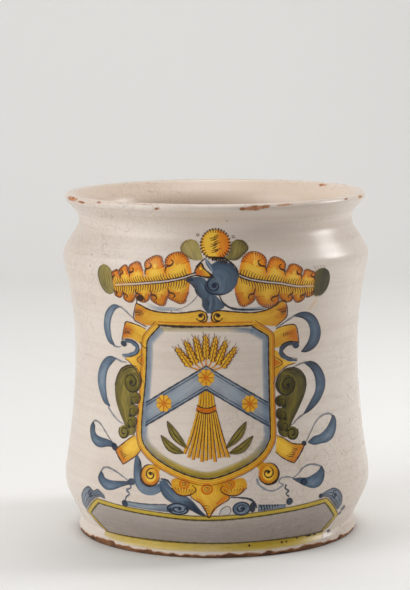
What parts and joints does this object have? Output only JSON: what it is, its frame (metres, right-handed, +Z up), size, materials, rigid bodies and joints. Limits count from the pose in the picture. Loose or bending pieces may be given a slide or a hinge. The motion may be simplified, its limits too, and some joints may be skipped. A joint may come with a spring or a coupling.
{
  "type": "albarello",
  "caption": "Wide waisted drug jar of tin-glazed earthenware with a flared lip, a neck groove for a tied cover, a painted shield on the front and a bare label panel over the foot.",
  "frame": {"origin": "middle of the foot, on the plane that the jar stands on", "axes": "+Z up along the jar's axis, -Y towards the painted front, +X to the viewer's right"},
  "size_m": [0.198, 0.1981, 0.22],
  "materials": {
    "clay": "bare fired earthenware, dry and gritty",
    "white_glaze": "glossy warm white tin glaze with throwing lines, fine craquelure and pinholes",
    "inside_glaze": "glossy pinkish buff glaze",
    "yellow_paint": "glossy antimony yellow with orange shading and brown lines",
    "orange_paint": "glossy orange over yellow with brown hatching",
    "olive_paint": "glossy olive green wash",
    "blue_paint": "glossy greyish cobalt blue wash with dark pools",
    "border_paint": "glossy greenish yellow with olive brown lines"
  },
  "bodies": {
    "root": {"clay_body": "clay", "outside_glaze": "white_glaze", "inside_glaze": "inside_glaze", "cartouche_frame": "yellow_paint", "strap_ends": "yellow_paint", "blue_hooks": "blue_paint", "frame_volutes": "orange_paint", "pendant_shells": "orange_paint", "shield_chevron": "blue_paint", "chevron_stars": "orange_paint", "wheat_sheaf": "yellow_paint", "shield_leaves": "olive_paint", "helmet": "blue_paint", "left_plume": "orange_paint", "right_plume": "orange_paint", "plume_tips": "olive_paint", "crest_fruit": "orange_paint", "crest_leaves": "olive_paint", "left_green_scroll": "olive_paint", "right_green_scroll": "olive_paint", "left_blue_leaves": "blue_paint", "right_blue_leaves": "blue_paint", "blue_ribbon": "blue_paint", "label_rolls": "blue_paint", "label_border": "border_paint"}
  },
  "joints": []
}
